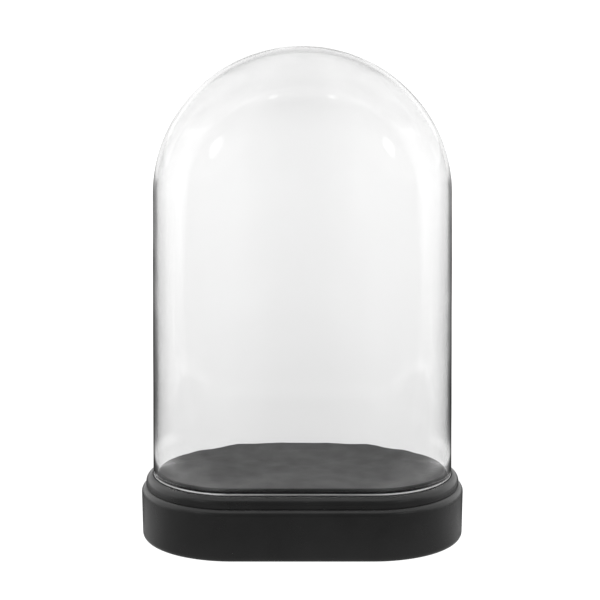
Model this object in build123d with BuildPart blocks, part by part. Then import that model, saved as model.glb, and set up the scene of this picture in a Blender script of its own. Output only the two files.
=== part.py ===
"""Oval glass display dome standing on a stepped wooden base.

Every outline is the same oval, two half circles joined by straight sides, drawn in from the
edge of the plinth by a stated distance, so every tier keeps the same two end centres.
Origin: centre of the foot pads' undersides. +Z up, +X along the long side, front faces -Y.
Millimetres.
"""

from build123d import *
from math import atan, cos, degrees, radians, sin
import os

os.makedirs("parts", exist_ok=True)

# ---------------------------------------------------------------- driving dimensions
plinth_width = 310.0
plinth_depth = 175.0
overall_height = 484.0

pad_thickness = 1.0
pad_diameter = 10.0
pad_margin = 0.5
pad_angle = 35.0

plinth_height = 52.5
plinth_draw_in = 1.0
plinth_top_round = 6.5
plinth_foot_round = 6.0
plinth_wall = 26.0
plinth_roof = 14.0

moulding_height = 11.4
moulding_set_back = 4.4
moulding_round = 8.0

deck_rise = 5.7
deck_set_back = 16.6
deck_round = 1.5

glass_set_back = 11.2
glass_draw_in = 1.2
glass_wall = 3.6
glass_foot_round = 1.4

bedding_thickness = 1.0
bedding_sunk = 0.4
bedding_margin = 0.8

panel_thickness = 5.0
panel_recess = 1.0
panel_ledge = 8.0

fit_gap = 0.05
assembly_gap = 0.3

dowel_diameter = 6.0
dowel_length = 14.0
dowel_chamfer = 0.6
dowel_rise_share = 0.6
dowels_per_end = 2

screws_per_end = 2
screw_rim_share = 0.1
screw_drive_share = 0.55
screw_drive_slot_share = 0.16

# ---------------------------------------------------------------- levels and radii worked out from them
end_radius = plinth_depth / 2
end_centre_x = plinth_width / 2 - end_radius

plinth_bottom = pad_thickness
plinth_top = plinth_bottom + plinth_height
land_level = plinth_top + moulding_height
deck_level = land_level + deck_rise

rebate_depth = bedding_thickness + bedding_sunk
bedding_bottom = land_level - rebate_depth
glass_foot_level = bedding_bottom + bedding_thickness + fit_gap

moulding_inner_set_back = deck_set_back - assembly_gap
bedding_outer_set_back = glass_set_back - bedding_margin

cap_half_width = plinth_width / 2 - glass_set_back - glass_draw_in
shoulder_level = overall_height - cap_half_width
glass_taper = degrees(atan(glass_draw_in / (shoulder_level - glass_foot_level)))
plinth_flare = degrees(atan(plinth_draw_in / plinth_height))

roof_underside = plinth_top - plinth_roof
panel_bottom = plinth_bottom + panel_recess
panel_top = panel_bottom + panel_thickness
panel_set_back = plinth_wall - panel_ledge


def oval(set_back, mode=Mode.ADD):
    """Draws the oval drawn in by set_back from the plinth's widest outline."""
    SlotOverall(plinth_width - 2 * set_back, plinth_depth - 2 * set_back, mode=mode)


def around(set_back, count_per_end):
    """Points evenly spread round each half circle of the oval, the same on both ends."""
    radius = end_radius - set_back
    points = []
    for side in (1, -1):
        for index in range(count_per_end):
            angle = -90 + 180 * (index + 0.5) / count_per_end
            spoke = Vector(radius, 0, 0).rotate(Axis.Z, angle)
            points.append((side * (end_centre_x + spoke.X), spoke.Y))
    return points


def along(set_back, offset_x):
    """Points on both straight sides at +offset_x and -offset_x, or one on each where that is 0."""
    y = end_radius - set_back
    return [(x, side * y) for x in sorted({-offset_x, offset_x}) for side in (-1, 1)]


def screw_solid(diameter, length, head_diameter, tip_length):
    """One countersunk wood screw, head down at the origin, point upwards."""
    radius = diameter / 2
    head_radius = head_diameter / 2
    head_height = head_radius - radius
    rim = diameter * screw_rim_share
    slot = head_diameter * screw_drive_slot_share
    with BuildPart() as screw:
        with BuildSketch(Plane.XZ):
            with BuildLine():
                Polyline(
                    (0, 0),
                    (head_radius, 0),
                    (head_radius, rim),
                    (radius, rim + head_height),
                    (radius, length - tip_length),
                    (0, length),
                    close=True,
                )
            make_face()
        revolve(axis=Axis.Z)
        with BuildSketch(Plane.XY):
            Rectangle(head_diameter * screw_drive_share, slot)
            Rectangle(slot, head_diameter * screw_drive_share)
        extrude(amount=head_height, mode=Mode.SUBTRACT)
    return screw.part


def write(part, name):
    """Labels a finished piece and writes it as its own file."""
    part.label = name
    export_step(part, f"parts/{name}.step")


# ---------------------------------------------------------------- screws: sizes and places
deck_screw_diameter = 4.0
deck_screw_length = 25.0
deck_screw_head = 8.0
deck_screw_tip = 3.0
deck_screw_set_back = 42.0
deck_screw_points = around(deck_screw_set_back, screws_per_end) + along(deck_screw_set_back, 0)

panel_screw_diameter = 3.0
panel_screw_length = 14.0
panel_screw_head = 6.0
panel_screw_tip = 2.5
panel_screw_set_back = panel_set_back + panel_ledge / 2
panel_screw_points = around(panel_screw_set_back, screws_per_end) + along(panel_screw_set_back, 0)

# ---------------------------------------------------------------- dowels: places
dowel_set_back = (moulding_set_back + deck_set_back) / 2
dowel_points = around(dowel_set_back, dowels_per_end) + along(dowel_set_back, end_centre_x / 2)
dowel_above_joint = (moulding_height - rebate_depth) * dowel_rise_share
dowel_bottom = plinth_top + dowel_above_joint - dowel_length

# ---------------------------------------------------------------- plinth
with BuildPart() as plinth:
    with BuildSketch(Plane.XY.offset(plinth_bottom)):
        oval(plinth_draw_in)
    extrude(amount=plinth_height, taper=-plinth_flare)
    fillet(plinth.faces().sort_by(Axis.Z)[-1].edges(), radius=plinth_top_round)
    fillet(plinth.faces().sort_by(Axis.Z)[0].edges(), radius=plinth_foot_round)
    # hollow from below, with a solid roof under the deck
    with BuildSketch(Plane.XY.offset(plinth_bottom)):
        oval(plinth_wall)
    extrude(amount=roof_underside - plinth_bottom, mode=Mode.SUBTRACT)
    # rebate that the base panel is let into
    with BuildSketch(Plane.XY.offset(plinth_bottom)):
        oval(panel_set_back)
    extrude(amount=panel_top - plinth_bottom, mode=Mode.SUBTRACT)
    # clearance holes with countersinks for the deck screws
    with BuildSketch(Plane.XY.offset(roof_underside)):
        with Locations(*deck_screw_points):
            Circle(deck_screw_diameter / 2 + fit_gap)
    extrude(amount=plinth_roof, mode=Mode.SUBTRACT)
    sink_radius = deck_screw_head / 2 + fit_gap
    sink_rim = deck_screw_diameter * screw_rim_share
    with Locations(*[(x, y, roof_underside + sink_rim) for x, y in deck_screw_points]):
        Cone(
            sink_radius,
            deck_screw_diameter / 2 + fit_gap,
            deck_screw_head / 2 - deck_screw_diameter / 2,
            align=(Align.CENTER, Align.CENTER, Align.MIN),
            mode=Mode.SUBTRACT,
        )
    with Locations(*[(x, y, roof_underside) for x, y in deck_screw_points]):
        Cylinder(
            sink_radius,
            sink_rim,
            align=(Align.CENTER, Align.CENTER, Align.MIN),
            mode=Mode.SUBTRACT,
        )
    # pilot holes for the panel screws
    with BuildSketch(Plane.XY.offset(panel_top)):
        with Locations(*panel_screw_points):
            Circle(panel_screw_diameter / 2 + fit_gap)
    extrude(amount=panel_screw_length, mode=Mode.SUBTRACT)
    # blind holes for the dowels
    with BuildSketch(Plane.XY.offset(plinth_top)):
        with Locations(*dowel_points):
            Circle(dowel_diameter / 2 + fit_gap)
    extrude(amount=dowel_bottom - plinth_top - assembly_gap, mode=Mode.SUBTRACT)
write(plinth.part, "plinth")

# ---------------------------------------------------------------- step moulding
with BuildPart() as step_moulding:
    with BuildSketch(Plane.XY.offset(plinth_top)):
        oval(moulding_set_back)
    extrude(amount=moulding_height)
    fillet(step_moulding.faces().sort_by(Axis.Z)[-1].edges(), radius=moulding_round)
    with BuildSketch(Plane.XY.offset(plinth_top)):
        oval(moulding_inner_set_back)
    extrude(amount=moulding_height, mode=Mode.SUBTRACT)
    # shallow rebate for the felt, open towards the deck
    with BuildSketch(Plane.XY.offset(bedding_bottom)):
        oval(bedding_outer_set_back)
    extrude(amount=rebate_depth, mode=Mode.SUBTRACT)
    with BuildSketch(Plane.XY.offset(plinth_top)):
        with Locations(*dowel_points):
            Circle(dowel_diameter / 2 + fit_gap)
    extrude(amount=dowel_above_joint + assembly_gap, mode=Mode.SUBTRACT)
write(step_moulding.part, "step_moulding")

# ---------------------------------------------------------------- felt bedding strip under the glass
with BuildPart() as bedding_strip:
    with BuildSketch(Plane.XY.offset(bedding_bottom)):
        oval(bedding_outer_set_back + fit_gap)
        oval(moulding_inner_set_back, Mode.SUBTRACT)
    extrude(amount=bedding_thickness)
write(bedding_strip.part, "bedding_strip")

# ---------------------------------------------------------------- display deck
with BuildPart() as display_deck:
    with BuildSketch(Plane.XY.offset(plinth_top)):
        oval(deck_set_back)
    extrude(amount=deck_level - plinth_top)
    fillet(display_deck.faces().sort_by(Axis.Z)[-1].edges(), radius=deck_round)
    pilot_depth = deck_screw_length - plinth_roof + assembly_gap
    with BuildSketch(Plane.XY.offset(plinth_top)):
        with Locations(*deck_screw_points):
            Circle(deck_screw_diameter / 2 + fit_gap)
    extrude(amount=pilot_depth, mode=Mode.SUBTRACT)
write(display_deck.part, "display_deck")

# ---------------------------------------------------------------- base panel
with BuildPart() as base_panel:
    with BuildSketch(Plane.XY.offset(panel_bottom)):
        oval(panel_set_back + assembly_gap)
    extrude(amount=panel_thickness)
    with BuildSketch(Plane.XY.offset(panel_bottom)):
        with Locations(*panel_screw_points):
            Circle(panel_screw_diameter / 2 + fit_gap)
    extrude(amount=panel_thickness, mode=Mode.SUBTRACT)
    panel_sink_rim = panel_screw_diameter * screw_rim_share
    with Locations(*[(x, y, panel_bottom + panel_sink_rim) for x, y in panel_screw_points]):
        Cone(
            panel_screw_head / 2 + fit_gap,
            panel_screw_diameter / 2 + fit_gap,
            panel_screw_head / 2 - panel_screw_diameter / 2,
            align=(Align.CENTER, Align.CENTER, Align.MIN),
            mode=Mode.SUBTRACT,
        )
    with Locations(*[(x, y, panel_bottom) for x, y in panel_screw_points]):
        Cylinder(
            panel_screw_head / 2 + fit_gap,
            panel_sink_rim,
            align=(Align.CENTER, Align.CENTER, Align.MIN),
            mode=Mode.SUBTRACT,
        )
write(base_panel.part, "base_panel")

# ---------------------------------------------------------------- fasteners
deck_screw = screw_solid(deck_screw_diameter, deck_screw_length, deck_screw_head, deck_screw_tip)
with BuildPart() as deck_screws:
    with Locations(*[(x, y, roof_underside) for x, y in deck_screw_points]):
        add(deck_screw)
write(deck_screws.part, "deck_screws")

panel_screw = screw_solid(panel_screw_diameter, panel_screw_length, panel_screw_head, panel_screw_tip)
with BuildPart() as panel_screws:
    with Locations(*[(x, y, panel_bottom) for x, y in panel_screw_points]):
        add(panel_screw)
write(panel_screws.part, "panel_screws")

with BuildPart() as locating_dowels:
    with BuildSketch(Plane.XY.offset(dowel_bottom)):
        with Locations(*dowel_points):
            Circle(dowel_diameter / 2)
    extrude(amount=dowel_length)
    chamfer(locating_dowels.edges().filter_by(GeomType.CIRCLE), length=dowel_chamfer)
write(locating_dowels.part, "locating_dowels")

# ---------------------------------------------------------------- felt foot pads
# one pad on each quarter, just inside the plinth's rounded foot and clear of its front edge
pad_radius = end_radius - plinth_draw_in - plinth_foot_round - pad_margin - pad_diameter / 2
pad_x = end_centre_x + pad_radius * cos(radians(pad_angle))
pad_y = pad_radius * sin(radians(pad_angle))
for side_name, side_x in (("left", -1), ("right", 1)):
    for end_name, side_y in (("front", -1), ("back", 1)):
        with BuildPart() as foot_pad:
            with BuildSketch(Plane.XY):
                with Locations((side_x * pad_x, side_y * pad_y)):
                    Circle(pad_diameter / 2)
            extrude(amount=pad_thickness)
        write(foot_pad.part, f"foot_pad_{end_name}_{side_name}")


# ---------------------------------------------------------------- glass dome
def bell(inset, foot, mode):
    """Oval walls up to the shoulder, closed by a half turn of the oval's end about the cross axis."""
    set_back = glass_set_back + inset
    with BuildSketch(Plane.XY.offset(foot)) as wall_outline:
        oval(set_back)
    extrude(wall_outline.sketch, amount=shoulder_level - foot, taper=glass_taper, mode=mode)
    with BuildSketch(Plane.XY.offset(shoulder_level)) as half_outline:
        oval(set_back + glass_draw_in)
        Rectangle(plinth_width, plinth_depth, align=(Align.MAX, Align.CENTER), mode=Mode.SUBTRACT)
    cross_axis = Axis((0, 0, shoulder_level), (0, -1, 0))
    revolve(half_outline.sketch, axis=cross_axis, revolution_arc=180, mode=mode)


with BuildPart() as glass_dome:
    bell(0, glass_foot_level, Mode.ADD)
    bell(glass_wall, glass_foot_level, Mode.SUBTRACT)
    foot_edges = glass_dome.faces().sort_by(Axis.Z)[0].edges()
    fillet(foot_edges, radius=glass_foot_round)
write(glass_dome.part, "glass_dome")
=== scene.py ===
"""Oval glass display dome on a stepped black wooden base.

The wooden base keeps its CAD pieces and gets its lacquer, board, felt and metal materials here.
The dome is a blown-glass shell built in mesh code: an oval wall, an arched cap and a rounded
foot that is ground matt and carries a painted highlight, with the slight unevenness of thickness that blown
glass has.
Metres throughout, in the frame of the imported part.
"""

import math

import bmesh
import bpy
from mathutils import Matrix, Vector, noise


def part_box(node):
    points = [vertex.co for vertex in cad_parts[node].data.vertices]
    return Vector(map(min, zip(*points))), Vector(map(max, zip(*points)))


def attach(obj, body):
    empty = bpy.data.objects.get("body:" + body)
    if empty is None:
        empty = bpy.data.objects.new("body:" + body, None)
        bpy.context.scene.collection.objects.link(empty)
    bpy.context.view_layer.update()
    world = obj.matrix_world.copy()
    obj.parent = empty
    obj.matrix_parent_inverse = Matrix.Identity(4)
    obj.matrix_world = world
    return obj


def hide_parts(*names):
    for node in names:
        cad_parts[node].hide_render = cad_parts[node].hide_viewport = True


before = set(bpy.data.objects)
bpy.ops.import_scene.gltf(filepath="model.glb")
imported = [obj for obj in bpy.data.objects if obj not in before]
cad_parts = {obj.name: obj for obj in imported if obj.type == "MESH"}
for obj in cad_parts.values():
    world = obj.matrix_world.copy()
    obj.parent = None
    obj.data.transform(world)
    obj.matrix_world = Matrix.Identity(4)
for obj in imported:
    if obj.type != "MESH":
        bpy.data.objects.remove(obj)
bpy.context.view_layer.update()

MM = 0.001


# ---------------------------------------------------------------- camera
CAMERA_PLACE = (-2.3 * MM, -4.850, 1.545)
CAMERA_PITCH = math.radians(15.09)
LENS_LENGTH = 315.2
SENSOR_WIDTH = 36.0


def make_camera():
    """A long lens well in front of the dome, looking down on it and centred on it."""
    data = bpy.data.cameras.new("camera")
    data.sensor_width = SENSOR_WIDTH
    data.lens = LENS_LENGTH
    data.clip_end = 100.0
    camera = bpy.data.objects.new("camera", data)
    bpy.context.scene.collection.objects.link(camera)
    camera.location = CAMERA_PLACE
    camera.rotation_euler = (math.pi / 2 - CAMERA_PITCH, 0, 0)
    bpy.context.scene.camera = camera


make_camera()


# ---------------------------------------------------------------- small helpers
def piece(name, mesh):
    """Links a mesh into the scene as a new piece."""
    obj = bpy.data.objects.new(name, mesh)
    bpy.context.scene.collection.objects.link(obj)
    return obj


def plate(name, width, height):
    """A flat rectangle about its own origin, facing up."""
    right, top = width / 2, height / 2
    corners = [(-right, -top, 0), (right, -top, 0), (right, top, 0), (-right, top, 0)]
    mesh = bpy.data.meshes.new(name)
    mesh.from_pydata(corners, [], [(0, 1, 2, 3)])
    return piece(name, mesh)


def wave(point, wavelength, seed):
    """Smooth noise from -1 to 1 that varies over the given wavelength."""
    shift = Vector((17.3 * seed, -9.1 * seed, 5.7 * seed))
    return noise.noise(Vector(point) / wavelength + shift)


# ---------------------------------------------------------------- glass dome
glass_low, glass_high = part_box("glass_dome")
FOOT = glass_low.z
# the oval is two half circles, centred this far out from the middle and joined by straight sides
FOOT_RADIUS = glass_high.y
END_CENTRE = glass_high.x - FOOT_RADIUS
# thickness of the glass, and of the half circle that rounds its rim
WALL = 3.6 * MM
RIM_RADIUS = WALL / 2
# how much smaller the half circles are at the shoulder, where the wall ends and the cap starts
DRAW_IN = 1.2 * MM
CAP_RADIUS = glass_high.x - DRAW_IN
SHOULDER = glass_high.z - CAP_RADIUS

# steps of the mesh: half of a long side, a round end, the wall, the cap and the rim
SIDE_STEPS = 30
END_STEPS = 80
HALF_STEPS = 2 * SIDE_STEPS + END_STEPS
WALL_STEPS = 100
CAP_STEPS = 140
RIM_STEPS = 10
# the dome's material slots: clear glass, and the ground edge of the rim, which carries a painted highlight
GLASS_SLOT = 0
RIM_SLOT = 1

# waves of blown glass: broad ones, narrow ones drawn out upwards, and fine ones on the inner skin only
BROAD_HEIGHT = 0.16 * MM
BROAD_LENGTH = 48 * MM
DRAWN_HEIGHT = 0.035 * MM
DRAWN_LENGTH = 16 * MM
DRAWN_STRETCH = 6
FINE_HEIGHT = 0.05 * MM
FINE_LENGTH = 24 * MM
# the outer skin lies this far inside its nominal surface, to make up for the height of its waves
OUTER_INSET = 0.12 * MM

# ripple round the foot of the inner skin: its level at the ends, how that rises towards the long
# sides, its wavelength and how fast it dies away above and below
RIPPLE_LOW = 70 * MM
RIPPLE_RISE = 0.6
RIPPLE_LENGTH = 36 * MM
RIPPLE_FADE = 1.6
# height of the ripple at places out from the middle, both in millimetres
RIPPLE_HEIGHTS = (
    (0, 0.30), (12, 0.31), (21, 0.36), (33, 0.29), (44, 0.21), (61, 0.205), (68, 0.095), (79, -0.08),
    (86, -0.145), (97, -0.11), (108, -0.25), (126, -0.28), (141, 0.0),
)

# bulge of the long sides, and how far above the foot it reaches its full size
SIDE_BULGE = 0.5 * MM
BULGE_RISE = 60 * MM


def half_oval(radius):
    """The right half of the oval, from the middle of the front round the end to the middle of the back.

    Returns a list of (x, y, outward x, outward y).
    """
    points = []
    for step in range(SIDE_STEPS):
        points.append((END_CENTRE * step / SIDE_STEPS, -radius, 0.0, -1.0))
    for step in range(END_STEPS + 1):
        angle = -math.pi / 2 + math.pi * step / END_STEPS
        out_x, out_y = math.cos(angle), math.sin(angle)
        points.append((END_CENTRE + radius * out_x, radius * out_y, out_x, out_y))
    for step in range(SIDE_STEPS):
        points.append((END_CENTRE * (1 - (step + 1) / SIDE_STEPS), radius, 0.0, 1.0))
    return points


def skin_radius(z, outside):
    """Radius of the wall's round ends at a height, on its outer or its inner skin."""
    inset = 0.0 if outside else WALL
    return FOOT_RADIUS - inset - DRAW_IN * (z - FOOT) / (SHOULDER - FOOT)


def ripple_height(across):
    """Height of the ripple at a distance out from the middle, eased between the listed places."""
    for (near, height), (far, next_height) in zip(RIPPLE_HEIGHTS, RIPPLE_HEIGHTS[1:]):
        if across < far * MM:
            share = (across / MM - near) / (far - near)
            return (height + (next_height - height) * share * share * (3 - 2 * share)) * MM
    return 0.0


def unevenness(point, outside):
    """How far blown glass lies from its nominal surface there, along the outward normal."""
    x, y, z = point
    seed = 1 if outside else 2
    broad = BROAD_HEIGHT * wave((x, y, z), BROAD_LENGTH, seed)
    drawn = DRAWN_HEIGHT * wave((x, y, z / DRAWN_STRETCH), DRAWN_LENGTH, seed + 4)
    if outside:
        return broad + drawn - OUTER_INSET
    above = (z - RIPPLE_LOW - RIPPLE_RISE * abs(y)) / RIPPLE_LENGTH
    ripple = ripple_height(abs(x)) * math.sin(2 * math.pi * above) * math.exp(-((RIPPLE_FADE * above) ** 2))
    fine = FINE_HEIGHT * wave((x, y, z), FINE_LENGTH, seed + 8)
    return broad + drawn + fine + ripple


def bulged(point):
    """Pushes the long sides out a little in their middle, as blown glass stands."""
    x, y, z = point
    share = max(0.0, 1 - (x / END_CENTRE) ** 2) ** 2
    level = min(1.0, max(0.0, (glass_high.z - z) / CAP_RADIUS)) * min(1.0, (z - FOOT) / BULGE_RISE)
    side = 0 if y == 0 else math.copysign(1, y)
    return Vector((x, y + side * SIDE_BULGE * share * level, z))


def add_band(mesh, lower, upper, slot):
    """Joins two rings of vertices with a closed band of faces."""
    for column, (low, high) in enumerate(zip(lower, upper)):
        after = (column + 1) % len(lower)
        face = mesh.faces.new((low, lower[after], upper[after], high))
        face.material_index = slot


def add_wall(mesh, outside):
    """Adds the wall of one skin, and returns its lowest and its highest ring of vertices."""
    rings = []
    for level in range(WALL_STEPS + 1):
        z = FOOT + RIM_RADIUS + (SHOULDER - FOOT - RIM_RADIUS) * (level / WALL_STEPS)
        half = half_oval(skin_radius(z, outside))
        left_half = [(-x, y, -out_x, out_y) for x, y, out_x, out_y in half[-2:0:-1]]
        ring = []
        for x, y, out_x, out_y in half + left_half:
            point = bulged((x, y, z))
            ring.append(mesh.verts.new(point + Vector((out_x, out_y, 0)) * unevenness(point, outside)))
        rings.append(ring)
    for lower, upper in zip(rings, rings[1:]):
        add_band(mesh, lower, upper, GLASS_SLOT)
    return rings[0], rings[-1]


def add_cap(mesh, outside, shoulder):
    """Adds the cap of one skin on its shoulder ring.

    The half oval swings over from the right end to the left about the cross axis at the shoulder,
    so all its arcs start and end on the same two vertices, in the middle of the front and the back.
    """
    half = half_oval(skin_radius(SHOULDER, outside))
    arcs = [shoulder[:HALF_STEPS + 1]]
    for step in range(1, CAP_STEPS):
        angle = math.pi * step / CAP_STEPS
        arc = [shoulder[0]]
        for x, y, out_x, out_y in half[1:-1]:
            point = bulged((x * math.cos(angle), y, SHOULDER + x * math.sin(angle)))
            normal = Vector((out_x * math.cos(angle), out_y, out_x * math.sin(angle)))
            arc.append(mesh.verts.new(point + normal * unevenness(point, outside)))
        arc.append(shoulder[HALF_STEPS])
        arcs.append(arc)
    arcs.append(shoulder[:1] + shoulder[:HALF_STEPS - 1:-1])
    for here, there in zip(arcs, arcs[1:]):
        for index in range(HALF_STEPS):
            corners = (here[index], here[index + 1], there[index + 1], there[index])
            mesh.faces.new(list(dict.fromkeys(corners)))


def add_skin(mesh, outside):
    """Adds the outer or the inner skin of the dome, and returns its lowest ring of vertices."""
    foot, shoulder = add_wall(mesh, outside)
    add_cap(mesh, outside, shoulder)
    return foot


def make_glass():
    """The dome: outer skin, inner skin and the rounded rim that joins them."""
    mesh = bmesh.new()
    outer = add_skin(mesh, True)
    inner = add_skin(mesh, False)
    rings = [outer]
    for step in range(1, RIM_STEPS):
        angle = math.pi * step / RIM_STEPS
        ring = []
        for out_vertex, in_vertex in zip(outer, inner):
            middle = (out_vertex.co + in_vertex.co) / 2
            reach = (out_vertex.co - in_vertex.co) / 2
            drop = Vector((0, 0, -reach.length * math.sin(angle)))
            ring.append(mesh.verts.new(middle + reach * math.cos(angle) + drop))
        rings.append(ring)
    rings.append(inner)
    for here, there in zip(rings, rings[1:]):
        add_band(mesh, here, there, RIM_SLOT)
    bmesh.ops.recalc_face_normals(mesh, faces=mesh.faces)
    data = bpy.data.meshes.new("blown_glass_dome")
    mesh.to_mesh(data)
    mesh.free()
    for polygon in data.polygons:
        polygon.use_smooth = True
    return piece("blown_glass_dome", data)


# ---------------------------------------------------------------- node helpers
def grey(value):
    return (value, value, value)


def maths(tree, operation, first, second=0):
    """One sum on one or two sources, each a socket or a number."""
    node = tree.nodes.new("ShaderNodeMath")
    node.operation = operation
    for index, source in enumerate((first, second)):
        if isinstance(source, (int, float)):
            node.inputs[index].default_value = source
        else:
            tree.links.new(source, node.inputs[index])
    return node.outputs["Value"]


def ramp(tree, source, stops):
    """A colour ramp with the given (place, colour) stops."""
    node = tree.nodes.new("ShaderNodeValToRGB")
    elements = node.color_ramp.elements
    while len(elements) < len(stops):
        elements.new(0.5)
    for element, (place, colour) in zip(elements, stops):
        element.position = place
        element.color = (*colour, 1.0)
    tree.links.new(source, node.inputs["Fac"])
    return node.outputs["Color"]


def level_ramp(tree, source, low, high, stops):
    """Grey levels for a source that runs from low to high, given as (place, level) stops."""
    share = maths(tree, "DIVIDE", maths(tree, "SUBTRACT", source, low), high - low)
    return ramp(tree, share, [((place - low) / (high - low), grey(level)) for place, level in stops])


def axes(tree, vector):
    """The X, Y and Z sockets of a vector."""
    split = tree.nodes.new("ShaderNodeSeparateXYZ")
    tree.links.new(vector, split.inputs["Vector"])
    return split.outputs


def mixed_shader(tree, share, first, second):
    """The first shader where share is 0, the second where it is 1."""
    mix = tree.nodes.new("ShaderNodeMixShader")
    tree.links.new(share, mix.inputs["Fac"])
    tree.links.new(first, mix.inputs[1])
    tree.links.new(second, mix.inputs[2])
    return mix.outputs["Shader"]


def set_surface(tree, shader):
    """Links a shader to the tree's output, which is made if there is none yet."""
    output = tree.get_output_node("ALL") or tree.nodes.new("ShaderNodeOutputMaterial")
    tree.links.new(shader, output.inputs["Surface"])


def noise_node(tree, scale, detail, roughness=0.5, stretch=None):
    """Noise over the object's own coordinates, stretched along an axis if asked."""
    coordinates = tree.nodes.new("ShaderNodeTexCoord")
    texture = tree.nodes.new("ShaderNodeTexNoise")
    texture.inputs["Scale"].default_value = scale
    texture.inputs["Detail"].default_value = detail
    texture.inputs["Roughness"].default_value = roughness
    if stretch is None:
        tree.links.new(coordinates.outputs["Object"], texture.inputs["Vector"])
    else:
        mapping = tree.nodes.new("ShaderNodeMapping")
        mapping.inputs["Scale"].default_value = stretch
        tree.links.new(coordinates.outputs["Object"], mapping.inputs["Vector"])
        tree.links.new(mapping.outputs["Vector"], texture.inputs["Vector"])
    return texture.outputs["Fac"]


def bump(tree, shader, source, strength, distance):
    """Adds a bump from a height source to a shader's normal."""
    node = tree.nodes.new("ShaderNodeBump")
    node.inputs["Strength"].default_value = strength
    node.inputs["Distance"].default_value = distance
    tree.links.new(source, node.inputs["Height"])
    tree.links.new(node.outputs["Normal"], shader.inputs["Normal"])


# ---------------------------------------------------------------- materials
def new_material(name):
    """A material with nothing in its node tree but a principled shader, linked to its output."""
    material = bpy.data.materials.new(name)
    material.use_nodes = True
    tree = material.node_tree
    tree.nodes.clear()
    shader = tree.nodes.new("ShaderNodeBsdfPrincipled")
    set_surface(tree, shader.outputs["BSDF"])
    return material, tree, shader


def vary(tree, socket, source, *stops):
    """Drives a socket from a noise, through a ramp with the given (place, colour) stops."""
    tree.links.new(ramp(tree, source, stops), socket)


def glass_material():
    """Clear soda glass: smooth, faintly grey, and plainly transparent to shadow rays."""
    material, tree, shader = new_material("clear_blown_glass")
    shader.inputs["Base Color"].default_value = (0.905, 0.905, 0.905, 1.0)
    shader.inputs["Roughness"].default_value = 0.0
    shader.inputs["IOR"].default_value = 1.5
    shader.inputs["Transmission Weight"].default_value = 1.0
    shadow_ray = tree.nodes.new("ShaderNodeLightPath").outputs["Is Shadow Ray"]
    clear = tree.nodes.new("ShaderNodeBsdfTransparent")
    clear.inputs["Color"].default_value = (0.94, 0.94, 0.94, 1.0)
    set_surface(tree, mixed_shader(tree, shadow_ray, shader.outputs["BSDF"], clear.outputs["BSDF"]))
    return material


def ground_edge_with_painted_highlight():
    """The foot of the glass where it was cut: ground matt, with a painted highlight that makes it whiter
    towards the ends, where the rim catches the light.
    """
    material, tree, shader = new_material("ground_glass_edge_painted_highlight")
    coordinates = tree.nodes.new("ShaderNodeTexCoord")
    # painted highlight: the ramp makes the ground edge whiter towards the ends, where the rim catches the
    # light
    across = maths(tree, "ABSOLUTE", axes(tree, coordinates.outputs["Object"])["X"])
    painted_rim_highlight = level_ramp(tree, across, 0.0, 0.15, [(0.03, 0.42), (0.07, 0.6), (0.09, 1.0), (0.15, 1.0)])
    patches = noise_node(tree, scale=60.0, detail=3.0)
    ground = level_ramp(tree, patches, 0.0, 1.0, [(0.3, 0.7), (0.7, 1.0)])
    tree.links.new(maths(tree, "MULTIPLY", painted_rim_highlight, ground), shader.inputs["Base Color"])
    shader.inputs["Roughness"].default_value = 0.55
    grit = noise_node(tree, scale=2500.0, detail=4.0)
    bump(tree, shader, grit, strength=0.3, distance=0.1 * MM)
    return material


def lacquer_material(name, base, smoother, rougher, gloss):
    """Satin black lacquer over smoothed wood: faint orange peel, faint pooling of sheen."""
    material, tree, shader = new_material(name)
    cloud = noise_node(tree, scale=26.0, detail=5.0)
    vary(tree, shader.inputs["Base Color"], cloud, (0.3, grey(base * 0.8)), (0.7, grey(base * 1.25)))
    sheen = noise_node(tree, scale=60.0, detail=6.0)
    vary(tree, shader.inputs["Roughness"], sheen, (0.3, grey(smoother)), (0.7, grey(rougher)))
    shader.inputs["Specular IOR Level"].default_value = gloss
    peel = noise_node(tree, scale=900.0, detail=2.0)
    bump(tree, shader, peel, strength=0.12, distance=0.2 * MM)
    return material


def board_material():
    """Black stained fibreboard: matt, flecked."""
    material, tree, shader = new_material("black_board")
    fleck = noise_node(tree, scale=700.0, detail=6.0, roughness=0.7)
    vary(tree, shader.inputs["Base Color"], fleck, (0.35, grey(0.012)), (0.7, grey(0.045)))
    shader.inputs["Roughness"].default_value = 0.8
    bump(tree, shader, fleck, strength=0.3, distance=0.3 * MM)
    return material


def felt_material(name, base):
    """Pressed felt: soft fibres, no gloss."""
    material, tree, shader = new_material(name)
    fibre = noise_node(tree, scale=1800.0, detail=8.0, roughness=0.8)
    vary(tree, shader.inputs["Base Color"], fibre, (0.3, grey(base * 0.4)), (0.7, grey(base * 1.8)))
    shader.inputs["Roughness"].default_value = 1.0
    shader.inputs["Specular IOR Level"].default_value = 0.1
    shader.inputs["Sheen Weight"].default_value = 0.2
    bump(tree, shader, fibre, strength=0.6, distance=0.4 * MM)
    return material


def beech_material():
    """Plain beech with short flecks along the dowel."""
    material, tree, shader = new_material("beech")
    grain = noise_node(tree, scale=500.0, detail=6.0, stretch=(1.0, 1.0, 0.08))
    vary(tree, shader.inputs["Base Color"], grain, (0.3, (0.42, 0.25, 0.13)), (0.7, (0.66, 0.46, 0.28)))
    shader.inputs["Roughness"].default_value = 0.6
    bump(tree, shader, grain, strength=0.2, distance=0.2 * MM)
    return material


def zinc_material():
    """Bright zinc plated steel, finely mottled."""
    material, tree, shader = new_material("zinc_plate")
    mottle = noise_node(tree, scale=1500.0, detail=5.0)
    vary(tree, shader.inputs["Base Color"], mottle, (0.3, (0.5, 0.5, 0.49)), (0.7, (0.72, 0.72, 0.7)))
    shader.inputs["Metallic"].default_value = 1.0
    shader.inputs["Roughness"].default_value = 0.35
    return material


def paint(material, *names):
    """Gives carried-over CAD nodes their material."""
    for name in names:
        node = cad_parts[name]
        node.data.materials.clear()
        node.data.materials.append(material)


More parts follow.
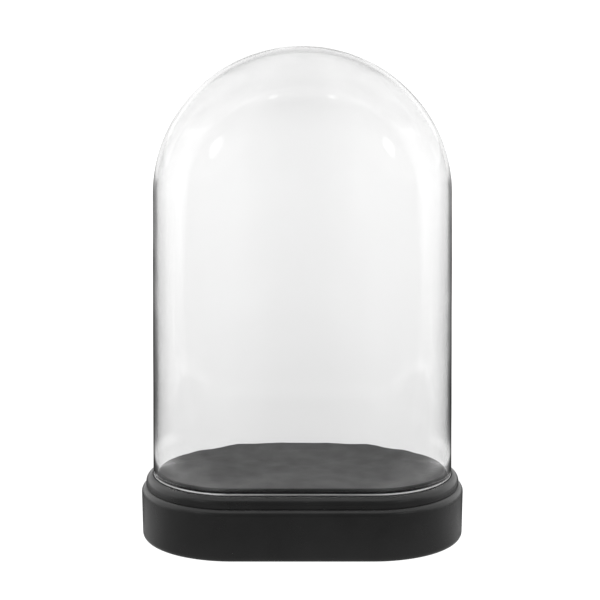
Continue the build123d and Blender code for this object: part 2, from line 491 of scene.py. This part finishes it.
body_lacquer = lacquer_material("satin_black_lacquer", base=0.009, smoother=0.26, rougher=0.34, gloss=0.55)
deck_lacquer = lacquer_material("deck_black_lacquer", base=0.013, smoother=0.34, rougher=0.44, gloss=0.4)
paint(body_lacquer, "plinth", "step_moulding")
paint(deck_lacquer, "display_deck")
paint(felt_material("black_felt", base=0.008), "bedding_strip")
paint(felt_material("pad_felt", base=0.03),
      "foot_pad_front_left", "foot_pad_front_right", "foot_pad_back_left", "foot_pad_back_right")
paint(board_material(), "base_panel")
paint(beech_material(), "locating_dowels")
paint(zinc_material(), "deck_screws", "panel_screws")

dome = make_glass()
dome.data.materials.append(glass_material())
dome.data.materials.append(ground_edge_with_painted_highlight())
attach(dome, "dome")
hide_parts("glass_dome")


# ---------------------------------------------------------------- floor, light and air
# Rays that come straight, or only through glass, see a plain white room. Rays that have been
# mirrored see a studio with dark parts, as glass is lit to show its outline.

FLOOR_REACH = 40.0
# the floor is a little matt too, so it darkens close to the base
FLOOR_MATT = 0.15
# where the painted unlit lane of the mirrored floor starts at the object, and how fast it closes in front
LANE_HALF_WIDTH = 0.15
LANE_CLOSING = 5
LEAST_BACK = 0.02
# size of the painted bright oval ring on the mirrored floor
RING_HALF_WIDTH = 0.42
RING_HALF_DEPTH = 0.345
# direction of the brightest part of the mirrored sky, up and behind the object
SKY_MIDDLE = (0.0, 0.5, 0.866)


def stage_tree(tree):
    """Clears a node tree and returns its mirrored share: 1 for rays that have been mirrored, else 0."""
    tree.nodes.clear()
    path = tree.nodes.new("ShaderNodeLightPath")
    return maths(tree, "MINIMUM", path.outputs["Glossy Depth"], 1.0)


def stage_material(name):
    """A material for the stage; returns it, its tree and the tree's mirrored share."""
    material = bpy.data.materials.new(name)
    material.use_nodes = True
    material.cycles.emission_sampling = "NONE"
    tree = material.node_tree
    return material, tree, stage_tree(tree)


def mixed_colour(tree, share, straight, mirrored):
    """The straight colour where share is 0, the mirrored one where it is 1."""
    mix = tree.nodes.new("ShaderNodeMix")
    mix.data_type = "RGBA"
    factor, first_colour, second_colour = mix.inputs[0], mix.inputs[6], mix.inputs[7]
    result_colour = mix.outputs[2]
    tree.links.new(share, factor)
    tree.links.new(straight, first_colour)
    tree.links.new(mirrored, second_colour)
    return result_colour


def floor_place(tree):
    """Distance sideways and distance back from the object's axis, over the floor."""
    geometry = tree.nodes.new("ShaderNodeNewGeometry")
    place = axes(tree, geometry.outputs["Position"])
    return maths(tree, "ABSOLUTE", place["X"]), place["Y"]


def reach_out(tree, sideways, back, half_width, half_depth):
    """Distance over the floor from the object's axis, as a share of an ellipse's size."""
    across = maths(tree, "DIVIDE", sideways, half_width)
    along = maths(tree, "DIVIDE", back, half_depth)
    across_squared = maths(tree, "MULTIPLY", across, across)
    along_squared = maths(tree, "MULTIPLY", along, along)
    return maths(tree, "SQRT", maths(tree, "ADD", across_squared, along_squared))


def straight_floor(tree, sideways, back):
    """The floor as it is seen directly: white, with painted shade that makes it a little quieter close
    behind and in the middle.
    """
    # painted shade: the glow dips close behind the object and in the middle, and rises further back
    depth = level_ramp(tree, back, 0.0, 2.5, [
        (0.1, 1.1), (0.2, 0.92), (0.86, 1.1), (1.4, 1.18), (1.66, 1.17), (1.9, 1.1), (2.13, 1.02),
    ])
    middle = level_ramp(tree, sideways, 0.0, 0.2, [(0.0, 0.93), (0.03, 0.94), (0.08, 1.0)])
    return maths(tree, "MULTIPLY", depth, middle)


def mirrored_floor(tree, sideways, back):
    """The floor as mirrors see it, painted with light and shade: dark near the object, lit at both sides of
    it and far behind.
    """
    lane = level_ramp(tree, back, 0.0, 2.5, [
        (0.36, 0.04), (0.55, 0.07), (0.8, 0.13), (1.15, 0.24), (1.4, 0.32), (1.6, 0.5), (1.8, 0.88),
        (2.3, 1.0),
    ])
    # the lane's edges spread backwards from the object's ends, and close at once in front of it
    in_front = maths(tree, "MAXIMUM", maths(tree, "MULTIPLY", back, -1), 0)
    outside = maths(tree, "SUBTRACT", sideways, LANE_HALF_WIDTH)
    beyond = maths(tree, "ADD", outside, maths(tree, "MULTIPLY", in_front, LANE_CLOSING))
    slant = maths(tree, "DIVIDE", beyond, maths(tree, "MAXIMUM", back, LEAST_BACK))
    beside = level_ramp(tree, slant, 0.0, 2.0, [
        (0.2, 0.0), (0.27, 0.05), (0.47, 0.25), (0.58, 0.4), (1.0, 0.7),
    ])
    dimming = level_ramp(tree, back, -1.0, 1.0, [
        (-0.6, 0.1), (-0.4, 0.1), (-0.35, 0.12), (-0.3, 0.4), (-0.19, 0.3), (-0.06, 0.62), (-0.02, 0.85),
        (0.03, 0.85), (0.12, 0.75), (0.2, 0.6), (0.45, 0.55), (0.8, 1.0),
    ])
    out = reach_out(tree, sideways, back, RING_HALF_WIDTH, RING_HALF_DEPTH)
    ring = level_ramp(tree, out, 0.0, 3.0, [
        (0.6, 0.9), (0.8, 0.35), (0.9, 0.9), (0.97, 3.4), (1.03, 2.6), (1.12, 1.4), (1.3, 0.9), (2.0, 1.0),
    ])
    lit = maths(tree, "MULTIPLY", maths(tree, "MULTIPLY", beside, dimming), ring)
    return maths(tree, "MAXIMUM", lane, lit)


def make_floor():
    """A wide white floor that glows as a lit sweep does, with painted light and shade in its glow, and is
    open from below.
    """
    floor = plate("floor", 2 * FLOOR_REACH, 2 * FLOOR_REACH)
    material, tree, share = stage_material("white_floor")
    sideways, back = floor_place(tree)
    straight = straight_floor(tree, sideways, back)
    mirrored = mirrored_floor(tree, sideways, back)
    glow = tree.nodes.new("ShaderNodeEmission")
    tree.links.new(mixed_colour(tree, share, straight, mirrored), glow.inputs["Color"])
    matt = tree.nodes.new("ShaderNodeBsdfDiffuse")
    not_mirrored = maths(tree, "SUBTRACT", 1, share)
    tree.links.new(maths(tree, "MULTIPLY", not_mirrored, FLOOR_MATT), matt.inputs["Color"])
    both = tree.nodes.new("ShaderNodeAddShader")
    tree.links.new(glow.outputs["Emission"], both.inputs[0])
    tree.links.new(matt.outputs["BSDF"], both.inputs[1])
    below = tree.nodes.new("ShaderNodeNewGeometry").outputs["Backfacing"]
    clear = tree.nodes.new("ShaderNodeBsdfTransparent").outputs["BSDF"]
    set_surface(tree, mixed_shader(tree, below, both.outputs["Shader"], clear))
    floor.data.materials.append(material)


def card_material(name, width, height, strength):
    """Light that fades out towards a card's edges, and is there for mirrored rays only."""
    material, tree, share = stage_material(name)
    coordinates = tree.nodes.new("ShaderNodeTexCoord")
    scaled = tree.nodes.new("ShaderNodeVectorMath")
    scaled.operation = "MULTIPLY"
    scaled.inputs[1].default_value = (2 / width, 2 / height, 0)
    tree.links.new(coordinates.outputs["Object"], scaled.inputs[0])
    place = axes(tree, scaled.outputs["Vector"])
    across = maths(tree, "POWER", maths(tree, "ABSOLUTE", place["X"]), 4)
    upward = maths(tree, "POWER", maths(tree, "ABSOLUTE", place["Y"]), 4)
    fade = ramp(tree, maths(tree, "ADD", across, upward), [(0.02, grey(1.0)), (0.9, grey(0.0))])
    glow = tree.nodes.new("ShaderNodeEmission")
    glow.inputs["Strength"].default_value = strength
    clear = tree.nodes.new("ShaderNodeBsdfTransparent")
    shown = maths(tree, "MULTIPLY", fade, share)
    set_surface(tree, mixed_shader(tree, shown, clear.outputs["BSDF"], glow.outputs["Emission"]))
    return material


def make_card(name, place, aim, width, height, strength, turn=0):
    """A light card that faces its aim, turned about that line by degrees; it shows in reflections only."""
    card = plate(name, width, height)
    card.location = place
    card.rotation_euler = (Vector(aim) - Vector(place)).to_track_quat("-Z", "Y").to_euler()
    card.rotation_euler.rotate_axis("Z", math.radians(turn))
    card.visible_camera = False
    card.visible_shadow = False
    card.visible_diffuse = False
    card.data.materials.append(card_material(name, width, height, strength))


def make_world():
    """White air; in reflections, a bright sky behind and beside the object and a dark room in front."""
    world = bpy.data.worlds.new("studio")
    bpy.context.scene.world = world
    world.use_nodes = True
    world.cycles.sampling_method = "NONE"
    tree = world.node_tree
    share = stage_tree(tree)
    coordinates = tree.nodes.new("ShaderNodeTexCoord")
    facing = tree.nodes.new("ShaderNodeVectorMath")
    facing.operation = "DOT_PRODUCT"
    facing.inputs[1].default_value = SKY_MIDDLE
    tree.links.new(coordinates.outputs["Generated"], facing.inputs[0])
    behind = level_ramp(tree, facing.outputs["Value"], 0.0, 1.0, [
        (0.1, 0.12), (0.3, 0.15), (0.42, 0.6), (0.5, 1.15), (0.6, 1.1), (0.7, 0.85), (0.8, 0.85),
        (0.866, 1.1), (1.0, 1.35),
    ])
    direction = axes(tree, coordinates.outputs["Generated"])
    sideways = maths(tree, "ABSOLUTE", direction["X"])
    beside = level_ramp(tree, sideways, 0.0, 1.0, [(0.25, 0.0), (0.45, 1.4), (0.8, 1.5)])
    backed = level_ramp(tree, direction["Y"], -1.0, 1.0, [(-0.15, 0.2), (0.35, 1.0)])
    mirrored = maths(tree, "MAXIMUM", behind, maths(tree, "MULTIPLY", beside, backed))
    white = tree.nodes.new("ShaderNodeRGB").outputs[0]
    white.default_value = (1.0, 1.0, 1.0, 1.0)
    background = tree.nodes.new("ShaderNodeBackground")
    tree.links.new(mixed_colour(tree, share, white, mirrored), background.inputs["Color"])
    output = tree.nodes.new("ShaderNodeOutputWorld")
    tree.links.new(background.outputs["Background"], output.inputs["Surface"])


def make_cards():
    """A panel and a strip beside the object and two small lamps in front of it, mirrored on both sides."""
    for side, label in ((-1, "left"), (1, "right")):
        make_card(
            label + "_panel", place=(side * 0.78, 0, 0.55), aim=(0, 0, 0.55),
            width=0.7, height=1.1, strength=1.1,
        )
        make_card(
            label + "_strip", place=(side * 0.77, 0, 0.08), aim=(0, 0, 0.08),
            width=0.05, height=0.16, strength=1.0,
        )
        make_card(
            label + "_top", place=(side * 0.81, -1.4, 2.85), aim=(side * 0.05, 0, 0.2),
            width=0.3, height=0.3, strength=2.5,
        )
        make_card(
            label + "_lamp", place=(side * 1.08, -1.0, 0.82), aim=(side * 0.08, -0.07, 0.41),
            width=0.26, height=0.4, strength=2.5, turn=-45 * side,
        )


make_floor()
make_world()
make_cards()

# a ray through the dome crosses four skins of glass, and more where it is mirrored inside the wall
GLASS_BOUNCES = 24
scene = bpy.context.scene
scene.view_settings.view_transform = "Standard"
scene.cycles.max_bounces = GLASS_BOUNCES
scene.cycles.transmission_bounces = GLASS_BOUNCES
